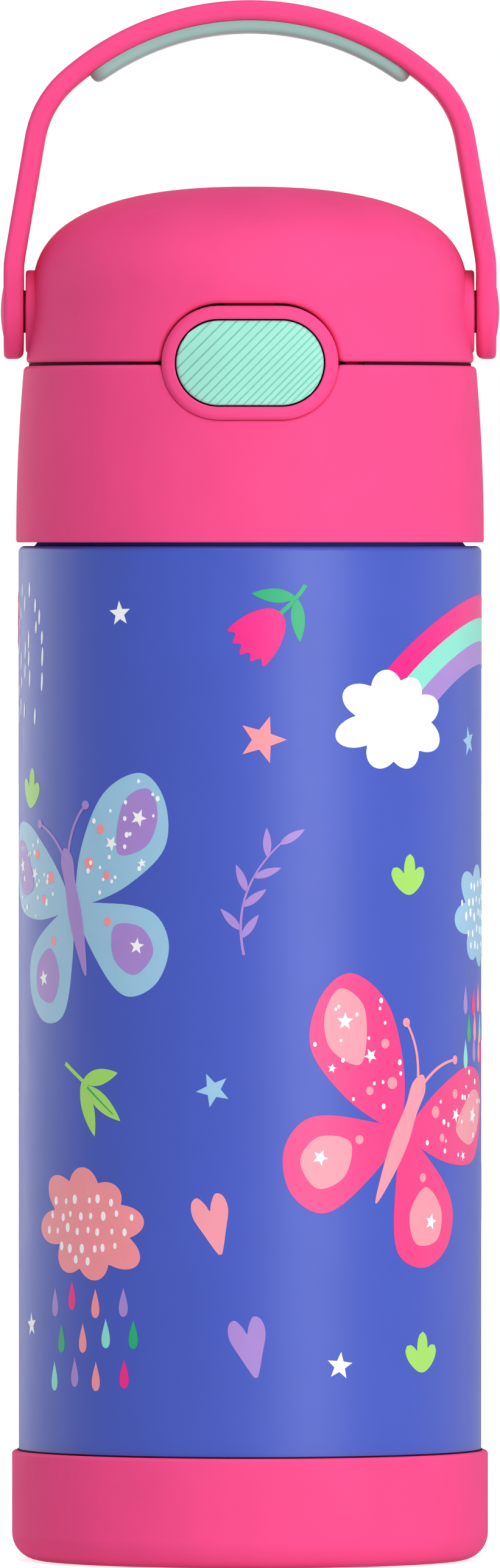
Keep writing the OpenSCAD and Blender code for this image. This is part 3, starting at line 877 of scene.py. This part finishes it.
def make_spout():
    """Drinking spout with a soft lip, and its flange on the deck."""
    top, bottom, flange = high("drink_spout").z, low("drink_spout").z, high("drink_spout").x
    bore, tube, under, over = 8.5, 11, bottom + 6.0, bottom + 7.6
    outline = rounded([
        (bore, bottom, 0.3), (tube, bottom, 0.3), (tube, under, 0), (flange, under, 0.2),
        (flange, over, 0.7), (tube + 0.1, over, 0.8), (tube - 0.6, top, 0.9), (bore, top, 0.9)])
    spout = moved_to("drink_spout", turned(outline, 120))
    new_piece("spout", spout, MINT_PLASTIC, "lid", "drink_spout")


def make_spout_seal():
    """Soft seal that closes the spout."""
    z, lip, stem, step, top = low("spout_seal").z, 10.9, 9.95, 1.8, 3.9
    seal = plug([
        (0.1, z + 0.3, 0), (7, z + 0.3, 0.3), (7.6, z, 0.2), (lip, z, 0.35), (lip, z + step, 0.2),
        (stem, z + step, 0.1), (stem, z + top, 0), (0.1, z + top, 0)], 96)
    new_piece("seal", moved_to("spout_seal", seal), SILICONE, "cap", "spout_seal")


def finish_cad_nodes():
    """CAD nodes that stay get their materials and smooth shading."""
    looks = {
        STEEL: ("shell_bottom", "vacuum_seal_disc", "inner_flask"),
        SILICONE: ("lid_gasket", "spout_gasket", "vent_valve"),
        DECK_PLASTIC: ("lid_base", "latch_hook"),
        LID_PLASTIC: ("seal_holder",)}
    for material, nodes in looks.items():
        for node in nodes:
            piece = frame["nodes"][node]
            piece.data.materials.clear()
            piece.data.materials.append(material)
            smooth(piece, 30)


# ---- printed pictures: shapes about their own origin

INKS = {
    "white": (0.93, 0.93, 0.95),
    "rose": (0.85, 0.01, 0.23),
    "pink": (0.85, 0.045, 0.23),
    "blush": (0.87, 0.31, 0.38),
    "coral": (0.92, 0.29, 0.33),
    "mint": (0.25, 0.74, 0.61),
    "lilac": (0.38, 0.23, 0.61),
    "sky": (0.31, 0.55, 0.74),
    "lime": (0.36, 0.71, 0.13),
    "leaf": (0.008, 0.4, 0.16),
}
LEVELS = (0.04, 0.07, 0.1)
FILM_ROOT = 0.03
CLOUD = ((96, 8.9), (52, 8.2), (8, 9.6), (-32, 10.6), (-73, 9.2), (-114, 8.8), (-168, 9.8), (140, 9.8))
prints = {}


def placed(loop, s, z, size=1.0, tilt=0.0, flip=False):
    """An outline scaled, tilted in degrees and set down at (s, z) on the unrolled body."""
    loop = np.asarray(loop, float) * size
    if flip:
        loop = loop * [-1, 1]
    c, q = math.cos(math.radians(tilt)), math.sin(math.radians(tilt))
    return loop @ np.array([[c, q], [-q, c]]) + [s, z]


def ink(colour, loops, s=0, z=0, size=1.0, tilt=0.0, flip=False, level=0):
    """Prints outlines set down at (s, z). Those of one call may overlap: they print as one shape."""
    shape = [placed(loop, s, z, size, tilt, flip) for loop in loops]
    prints.setdefault((colour, level), []).append(shape)


def spline(points, steps=8):
    """Closed smooth curve through given points."""
    points = np.asarray(points, float)
    before, after, beyond = (np.roll(points, shift, 0) for shift in (1, -1, -2))
    curve = []
    for p0, p1, p2, p3 in zip(before, points, after, beyond):
        for t in np.arange(steps) / steps:
            bend = (2 * p0 - 5 * p1 + 4 * p2 - p3) * t ** 2 + (3 * p1 - p0 - 3 * p2 + p3) * t ** 3
            curve.append(0.5 * (2 * p1 + (p2 - p0) * t + bend))
    return np.array(curve)


def ellipse(a, b, steps=20):
    """Ellipse of half axes a and b."""
    angles = np.arange(steps) * TURN / steps
    return np.column_stack([a * np.cos(angles), b * np.sin(angles)])


def star(r):
    """Five-pointed star."""
    angles = np.radians(90 + 36 * np.arange(10))
    radii = np.where(np.arange(10) % 2 == 0, r, r * 0.42)
    return np.column_stack([radii * np.cos(angles), radii * np.sin(angles)])


def heart(w, h):
    """Slim heart."""
    right = [(0, -0.5), (0.16, -0.46), (0.6, -0.12), (0.97, 0.2), (0.88, 0.43), (0.5, 0.5), (0.16, 0.36)]
    return spline(right + [(0, 0.24)] + reflected(right[1:]), 6) * [w / 2, h]


def drop(w, h):
    """Raindrop."""
    t = np.arange(28) * TURN / 28
    return np.column_stack([w / 2 * 1.3 * np.sin(t) * np.sin(t / 2) ** 1.5, h / 2 * np.cos(t)])


def blade(length, half, u):
    """Symmetric outline along +x, from its half widths at the shares u of its length."""
    upper = np.column_stack([u * length, half])
    return np.vstack([upper, (upper[::-1] * [1, -1])[1:-1]])


def leaf(length, width):
    """Pointed leaf from the origin along +x."""
    u = np.linspace(0, 1, 15)
    return blade(length, width / 2 * np.sin(math.pi * u ** 0.85) ** 0.85, u)


def petal(length, width):
    """Blunt petal from the origin along +x."""
    u = np.linspace(0, 1, 15)
    return blade(length, width / 2 * np.sqrt(np.clip(1 - (2 * u ** 1.35 - 1) ** 2, 0, 1)), u)


def stroke(points, width, taper):
    """Thin line along points, narrower at its end."""
    line = resampled(np.asarray(points, float), 1.0)
    half = width / 2 * np.linspace(1, taper, len(line))[:, None]
    normal = edge_normals(line)
    return np.vstack([line + normal * half, (line - normal * half)[::-1]])


def curved(start, bend, end, steps=12):
    """Points of a quadratic curve."""
    t = np.linspace(0, 1, steps + 1)[:, None]
    start, bend, end = (np.array(p, float) for p in (start, bend, end))
    return (1 - t) ** 2 * start + 2 * t * (1 - t) * bend + t ** 2 * end


def lobed(lobes, width, steps=160):
    """Outline round petals about the origin, each given as (angle in degrees, reach)."""
    outline = []
    for angle in np.arange(steps) * TURN / steps:
        reach = 0.5
        for heading, tip in lobes:
            half = 0.4 * tip
            turn = angle - math.radians(heading)
            ahead, across = math.cos(turn), math.sin(turn)
            a = (ahead / half) ** 2 + (across / width) ** 2
            b = ahead * (tip - half) / half ** 2
            c = ((tip - half) / half) ** 2 - 1
            if b > 0 and b * b > a * c:
                reach = max(reach, (b + math.sqrt(b * b - a * c)) / a)
        outline.append((reach * math.cos(angle), reach * math.sin(angle)))
    return np.array(outline)


# ---- printed pictures: drawing them on the body


def draw_cloud(s, z, size, tilt, colour, seed=None, level=0, flip=False):
    """Puffy cloud, broader than tall. A seed gives it white speckles."""
    cloud = lobed(CLOUD, 2.75) * [1.17, 0.95]
    ink(colour, [cloud], s, z, size, tilt, flip, level)
    if seed is not None:
        draw_speckles(s, z, 18.5 * size, 12 * size, seed)


def draw_speckles(s, z, w, h, seed):
    """Small upright dots on a loose grid inside an ellipse."""
    chance = random.Random(seed)
    step = 2.5
    rows, columns = int(h / step), int(w / step)
    for i in range(rows + 1):
        for k in range(columns + 1):
            x = (k - columns / 2 + 0.5 * (i % 2) - 0.25 + chance.uniform(-0.2, 0.2)) * step
            y = (i - rows / 2 + chance.uniform(-0.2, 0.2)) * step
            if (2 * x / w) ** 2 + (2 * y / h) ** 2 <= 1:
                ink("white", [ellipse(0.4, 0.66, 14)], s + x, z + y, chance.uniform(0.75, 1.2), level=1)


def draw_rain(s, z, w, h, seed):
    """Loose rows of coloured raindrops."""
    chance = random.Random(seed)
    colours = "lilac rose coral lilac leaf coral mint leaf mint lilac coral rose".split()
    for k, colour in enumerate(colours):
        column, row = k % 4, k // 4
        x = (column - 1.5 + 0.35 * (row % 2)) * w / 4 + chance.uniform(-0.4, 0.4)
        y = -row * h / 3 + chance.uniform(-0.7, 0.7)
        ink(colour, [drop(1.9, 4.8)], s + x, z + y)


def draw_rainbow(s, z, r, band):
    """Three concentric bands between two clouds."""
    tilt = 40
    for k, colour in enumerate(("rose", "mint", "lilac")):
        outer = arc(s, z, r - k * band, tilt, 180 - tilt, 60)
        inner = arc(s, z, r - (k + 1) * band, 180 - tilt, tilt, 60)
        ink(colour, [np.vstack([outer, inner])])
    reach = (r - 1.5 * band) * math.cos(math.radians(tilt))
    foot = z + (r - 1.5 * band) * math.sin(math.radians(tilt))
    for side in (-1, 1):
        draw_cloud(s + side * reach, foot - 1.1, 0.98, -6 * side, "white", level=1, flip=side > 0)


def draw_tuft(s, z, tilt):
    """Three petals of grass."""
    blades = ((52, 5.5), (86, 6.7), (126, 5.6))
    petals = [placed(petal(length, 2.5), 0, 0, 1, angle) for angle, length in blades]
    ink("lime", petals, s, z - 3.4, 1, tilt)


def draw_tulip(s, z, tilt):
    """Tulip with a wavy rim, a stem and two leaves."""
    right = [(1.9, -3.9), (3.5, -1.3), (4.2, 1.8), (4.1, 3.5), (2.9, 2.9), (2.1, 4.3), (1.0, 3.5)]
    flower = spline([(0, -4.7)] + right + [(0, 4.8)] + reflected(right), 6)
    ink("rose", [flower], s, z, 1, tilt, level=1)
    ink("leaf", [stroke(curved((0, -4.2), (-0.3, -8), (0.3, -10.8)), 0.75, 0.9)], s, z, 1, tilt)
    for flip in (False, True):
        ink("leaf", [placed(leaf(7.2, 2.3), 0.1, -8.2, 1, 40)], s, z, 1, tilt, flip)


def draw_sprig(s, z, tilt):
    """Curved twig with leaves in pairs."""
    line = curved((0, -10), (-2.5, 1), (7, 9), 16)
    ink("lilac", [stroke(line, 0.45, 0.5)], s, z, 1, tilt)
    for place, side in ((3, 1), (2, -1), (6, -1), (8, 1), (10, -1), (13, 1), (15, -0.3)):
        ahead = line[min(place + 1, 16)] - line[place - 1]
        heading = math.degrees(math.atan2(ahead[1], ahead[0])) + side * 42
        ink("lilac", [placed(leaf(4.8, 1.35), *line[place], 1, heading)], s, z, 1, tilt)


def draw_twig(s, z, tilt):
    """Three broad leaves on a short stem."""
    ink("lime", [stroke([(-7, 0), (-2, 0.2), (0, 0)], 0.7, 0.8)], s, z, 1, tilt)
    for start, heading, length in (((-1.8, 0.2), 46, 7.6), ((-0.8, 0), -3, 9.2), ((-2, 0), -37, 9.4)):
        ink("lime", [placed(leaf(length, 2.7), *start, 1, heading)], s, z, 1, tilt)
    ink("leaf", [stroke([(-0.4, 0), (6.6, -0.4)], 0.3, 0.5)], s, z, 1, tilt, level=1)


def draw_dashes(s, z, w, h, seed):
    """Short upright brush marks."""
    chance = random.Random(seed)
    across, up = 2.6, 3.6
    rows, columns = int(h / up), int(w / across)
    for i in range(rows):
        for k in range(columns):
            if chance.random() < 0.8:
                x = (k + 0.5 - columns / 2 + chance.uniform(-0.25, 0.25)) * across
                y = (i + 0.5 - rows / 2 + 0.5 * (k % 2) + chance.uniform(-0.15, 0.15)) * up
                ink("white", [ellipse(0.32, chance.uniform(1.0, 1.6), 14)], s + x, z + y, 1, -4)


def draw_butterfly(s, z, size, tilt, wing, accent, spot, seed):
    """Large plain butterfly: two pairs of wings with patches, dots and stars."""
    upper = spline([(0.8, 1), (4, 9), (11, 16.5), (19, 18), (22, 12.5), (20, 5), (12, 0.8), (4, -0.2)])
    lower = spline([
        (0.8, -0.6), (8, -1.2), (15.5, -4.5), (17, -10.5), (13.2, -16), (7.2, -16.5), (3.2, -10)])
    patch = spline([(11.5, 6.5), (14.5, 14), (19.6, 15.2), (20.2, 10.5), (17, 6.2)])
    tail = spline([(8, -5), (13, -6.5), (14, -11), (9.8, -13.6), (6.6, -10)])
    feeler = stroke(curved((0.4, 8), (2, 13), (6.5, 15.5)), 0.5, 0.8)
    side = [(1.5, 8), (1.3, 4), (1.6, -1), (1.0, -7)]
    trunk = spline([(0, 10)] + side + [(0, -11.5)] + reflected(side))
    chance = random.Random(seed)

    def at(x, y, flip):
        return placed([(x, y)], s, z, size, tilt, flip)[0]

    for flip in (False, True):
        ink(wing, [upper, lower], s, z, size, tilt, flip)
        ink(accent, [patch], s, z, size, tilt, flip, 1)
        ink(accent, [tail], s, z, size, tilt, flip, 1)
        for x, y, r in ((5.2, 6.2, 1.0), (8.4, 3.4, 0.7), (6.8, -4.0, 0.75), (9.0, 11.0, 0.8)):
            ink(spot, [ellipse(r, r)], *at(x, y, flip), level=1)
        for x, y, r in ((10.6, 8.2, 1.25), (16.8, 11.0, 1.5), (11.4, -9.2, 1.4), (15.6, 3.7, 0.8)):
            ink("white", [star(r)], *at(x, y, flip), 1, chance.uniform(-30, 30), level=2)
        spots = np.array([(chance.uniform(4, 21), chance.uniform(-1, 17)) for _ in range(34)])
        for x, y in spots[inside(spots, upper * 0.93 + [0.7, 0.6])]:
            if math.hypot(x - 10.6, y - 8.2) > 2 and math.hypot(x - 16.8, y - 11) > 2.2:
                ink("white", [ellipse(0.3, 0.38, 12)], *at(x, y, flip), chance.uniform(0.7, 1.3), level=2)
    for flip in (False, True):
        ink(accent, [feeler], s, z, size, tilt, flip, 2)
        ink(accent, [ellipse(0.75, 0.75)], *at(6.7, 15.6, flip), level=2)
    ink(accent, [trunk], s, z, size, tilt, level=2)


def draw_pictures():
    """Lays the pictures out on the unrolled body: s runs round it from the front, to the right."""
    for s, z, r, tilt, colour in (
            (-22.5, 155.5, 2.1, 4, "white"), (2, 135, 4.0, -18, "coral"), (46.5, 134.5, 2.5, 12, "sky"),
            (-6, 78, 2.9, 24, "sky"), (15, 33, 2.3, -6, "white"), (-46.5, 39, 2.0, 5, "white"),
            (118, 134, 4.0, 20, "coral"), (98, 155, 2.2, -8, "white"), (166, 128, 2.5, 14, "sky"),
            (112, 76, 2.9, -20, "sky"), (134, 32, 2.3, 8, "white"), (76, 42, 2.2, 0, "white")):
        ink(colour, [star(r)], s, z, 1, tilt)
    draw_dashes(-49, 148, 16, 22, 3)
    draw_dashes(140, 150, 16, 20, 5)
    draw_tulip(1.7, 152.3, 135)
    draw_tulip(121, 155, -40)
    draw_rainbow(54, 115, 43.5, 3.8)
    for place in (
            (28.5, 113, 2), (-47, 127, -5), (31.5, 35, 2),
            (150, 112, -6), (96, 116, 8), (158, 30, 0)):
        draw_tuft(*place)
    draw_sprig(-1, 110, 0)
    draw_sprig(128, 112, 12)
    draw_twig(-29, 78, -35)
    draw_twig(104, 94, 40)
    draw_cloud(52, 106, 0.98, -6, "sky", 11)
    draw_rain(51, 92, 15, 12, 21)
    draw_cloud(-30, 56, 1.08, -4, "coral", 12)
    draw_rain(-30, 43.5, 21.5, 18, 22)
    draw_cloud(93, 60, 1.05, 6, "coral", 13)
    draw_rain(93.5, 47, 18, 14, 23)
    for s, z, colour, tilt in (
            (-6, 56, "blush", 14), (0, 36, "lilac", 12), (62, 60, "blush", -10),
            (114, 34, "lilac", -14), (170, 60, "blush", 8)):
        ink(colour, [heart(6.2, 9.8)], s, z, 1, tilt)
    draw_butterfly(-32.5, 107.5, 1.0, 14, "sky", "lilac", "coral", 31)
    draw_butterfly(27, 70.5, 1.08, -26, "pink", "blush", "blush", 32)
    draw_butterfly(141, 76, 1.05, 14, "sky", "lilac", "coral", 33)
    draw_butterfly(167, 150, 0.62, -12, "pink", "blush", "blush", 34)


# ---- printed pictures: films on the body


def inside(points, loop):
    """Which points lie inside a closed outline."""
    x, y = points[:, 0], points[:, 1]
    x1, y1 = loop[:, 0][:, None], loop[:, 1][:, None]
    x2, y2 = np.roll(loop[:, 0], -1)[:, None], np.roll(loop[:, 1], -1)[:, None]
    crosses = (y1 > y) != (y2 > y)
    slope = np.where(y2 == y1, 1, y2 - y1)
    return (crosses & (x < (x2 - x1) * (y - y1) / slope + x1)).sum(axis=0) % 2 == 1


def refined(loop, longest=1.6):
    """A closed outline with its long steps divided."""
    points = []
    for a, b in zip(loop, np.roll(loop, -1, axis=0)):
        pieces = max(1, math.ceil(np.linalg.norm(b - a) / longest))
        points += [a + (b - a) * k / pieces for k in range(pieces)]
    return np.array(points)


def triangulated(loops, step=2.2):
    """Flat points and triangles that fill outlines, with points inside every `step`."""
    corners = np.vstack(loops)
    lows, highs = corners.min(axis=0), corners.max(axis=0)
    xs, ys = np.meshgrid(*(np.arange(lows[k] + step / 2, highs[k], step) for k in (0, 1)))
    filling = np.column_stack([xs.ravel(), ys.ravel()])
    kept = np.zeros(len(filling), bool)
    faces, start = [], 0
    for loop in loops:
        kept |= inside(filling, loop)
        faces.append(list(range(start, start + len(loop))))
        start += len(loop)
    points = [Vector(p) for p in np.vstack([corners, filling[kept]])]
    flat, _, triangles, *_ = delaunay_2d_cdt(points, [], faces, 1, 1e-5)
    return np.array([tuple(p) for p in flat]), triangles


def film(loops, lift):
    """Thin closed film of one printed shape, wrapped round the body."""
    flat, triangles = triangulated([refined(loop) for loop in loops])
    angle = flat[:, 0] / BODY_R
    outside, underside = (wrapped(r, angle, flat[:, 1]) for r in (BODY_R + lift, BODY_R - FILM_ROOT))
    return between(outside, underside, [tuple(t) for t in triangles])


def make_prints():
    """One piece of film for each ink and level."""
    draw_pictures()
    inks = {colour: printed_ink(f"ink_{colour}", rgb) for colour, rgb in INKS.items()}
    for (colour, level), shapes in sorted(prints.items()):
        part = joined([film(loops, LEVELS[level]) for loops in shapes])
        new_piece(f"print_{colour}_{level + 1}", part, inks[colour], "flask", sharp=40)


# ---- studio


def make_world():
    """A bright wall behind the bottle in a dim room. The backdrop itself shows white."""
    world = bpy.data.worlds.new("studio")
    world.use_nodes = True
    tree = world.node_tree
    place = add(tree, "ShaderNodeTexCoord", {}).outputs["Generated"]
    axes = add(tree, "ShaderNodeSeparateXYZ", {"Vector": place}).outputs
    towards_back = map_range(tree, axes["Y"], (0.1, 0.8), (0.2, 0.95))
    towards_ground = map_range(tree, axes["Z"], (1.0, 0.1), (0.1, 0.7))
    total = add(tree, "ShaderNodeMath", {0: towards_back, 1: towards_ground})
    total.operation = "MULTIPLY"
    seen = add(tree, "ShaderNodeLightPath", {}).outputs["Is Camera Ray"]
    shown = add(tree, "ShaderNodeMix", {"Factor": seen, "A": total.outputs["Value"], "B": 1.0})
    background = tree.nodes["Background"]
    background.inputs["Color"].default_value = (1, 1, 1, 1)
    tree.links.new(shown.outputs["Result"], background.inputs["Strength"])
    bpy.context.scene.world = world


def make_floor():
    """White paper under the bottle. It throws back less light than it shows, so the sides stay shaded."""
    material = bpy.data.materials.new("floor_paper")
    material.use_nodes = True
    tree = material.node_tree
    principled = tree.nodes["Principled BSDF"]
    principled.inputs["Roughness"].default_value = 0.9
    principled.inputs["Emission Color"].default_value = (1, 1, 1, 1)
    seen = add(tree, "ShaderNodeLightPath", {}).outputs["Is Camera Ray"]
    tree.links.new(map_range(tree, seen, (0.6, 0.96)), principled.inputs["Base Color"])
    tree.links.new(map_range(tree, seen, (0.25, 0.7)), principled.inputs["Emission Strength"])
    reach, z = 12, -0.1 * MM
    corners = [(-reach, -reach, z), (reach, -reach, z), (reach, reach, z), (-reach, reach, z)]
    mesh = bpy.data.meshes.new("floor")
    mesh.from_pydata(corners, [], [(0, 1, 2, 3)])
    mesh.materials.append(material)
    in_scene("floor", mesh)


def aim(thing, place, height):
    """Puts a lamp or the camera at a place, and points it at a height on the bottle's axis."""
    thing.location = place
    thing.rotation_euler = (Vector((0, 0, height)) - thing.location).to_track_quat("-Z", "Y").to_euler()


def softbox(name, azimuth, distance, height, size, power):
    """Area light aimed at the bottle, in metres, `azimuth` degrees from the front to the right."""
    turn = math.radians(azimuth)
    place = (distance * math.sin(turn), -distance * math.cos(turn), height)
    light = bpy.data.lights.new(name, "AREA")
    light.shape = "RECTANGLE"
    light.size, light.size_y = size
    light.energy = power
    lamp = in_scene(name, light)
    aim(lamp, place, 0.125)
    lamp.visible_camera = False


def soft_sun(name, azimuth, elevation, strength, spread):
    """Distant light `spread` degrees wide, which lights the bottle and all of the floor alike."""
    light = bpy.data.lights.new(name, "SUN")
    light.energy = strength
    light.angle = math.radians(spread)
    lamp = in_scene(name, light)
    lamp.rotation_euler = (math.radians(90 - elevation), 0, math.radians(azimuth))


def make_studio():
    """White surroundings, a pale floor and soft lights."""
    bpy.context.scene.view_settings.view_transform = "Standard"
    make_world()
    make_floor()
    softbox("key", 30, 1.6, 0.4, (0.9, 1.2), 21)
    softbox("right_fill", 112, 1.4, 0.25, (1.2, 1.2), 3)
    softbox("left_fill", -118, 1.5, 0.25, (1.2, 1.3), 8.7)
    softbox("left_edge", -150, 1.4, 0.25, (0.3, 1.2), 2)
    soft_sun("top", 8, 70, 1.8, 50)


def make_camera():
    """Level long-lens view of the front. Lengths are in metres; the view is `tall` high at the bottle."""
    distance, height, middle, tall = 3.8, 0.1677, 0.1274, 0.2576
    data = bpy.data.cameras.new("camera")
    data.lens = data.sensor_width * distance / tall
    data.clip_end = 50
    camera = in_scene("camera", data)
    aim(camera, (0, -distance, height), middle)
    bpy.context.scene.camera = camera


make_camera()
make_studio()
make_boot()
make_pad()
make_body()
make_collar()
make_seam_rib()
make_rim()
make_button()
make_button_spring()
make_cap()
make_hinge()
make_hinge_spring()
make_handle()
make_grip()
make_pivots()
make_spout()
make_spout_seal()
finish_cad_nodes()
make_prints()
